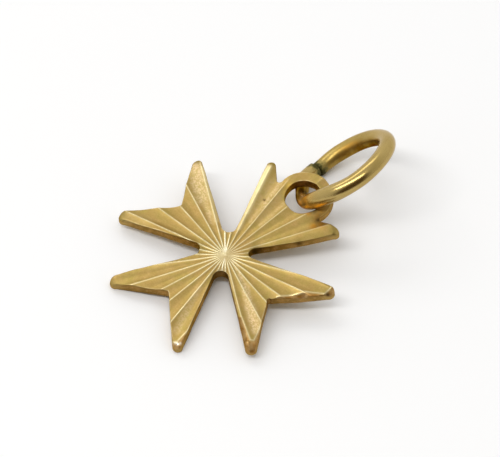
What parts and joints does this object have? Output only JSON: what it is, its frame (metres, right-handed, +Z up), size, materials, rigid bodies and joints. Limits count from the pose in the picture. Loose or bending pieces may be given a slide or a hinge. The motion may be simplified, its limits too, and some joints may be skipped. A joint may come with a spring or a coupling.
{
  "type": "maltese cross pendant",
  "caption": "Small flat cast gold Maltese cross charm with a sunburst of concave flutes on its face and a loop in its top arm, lying at rest on the polished jump ring that threads the loop.",
  "frame": {"origin": "on the table, at the middle of the footprint of the part as it lies", "axes": "+Z up from the table, +Y toward the jump ring and the cross's top arm, +X to the cross's right arm"},
  "size_m": [0.0128, 0.0191, 0.0053],
  "materials": {
    "cast_gold": "satin cast yellow gold, ridges and edges worn bright",
    "polished_gold": "polished yellow gold wire"
  },
  "bodies": {
    "root": {"cross": "cast_gold", "jump_ring": "polished_gold"}
  },
  "joints": []
}
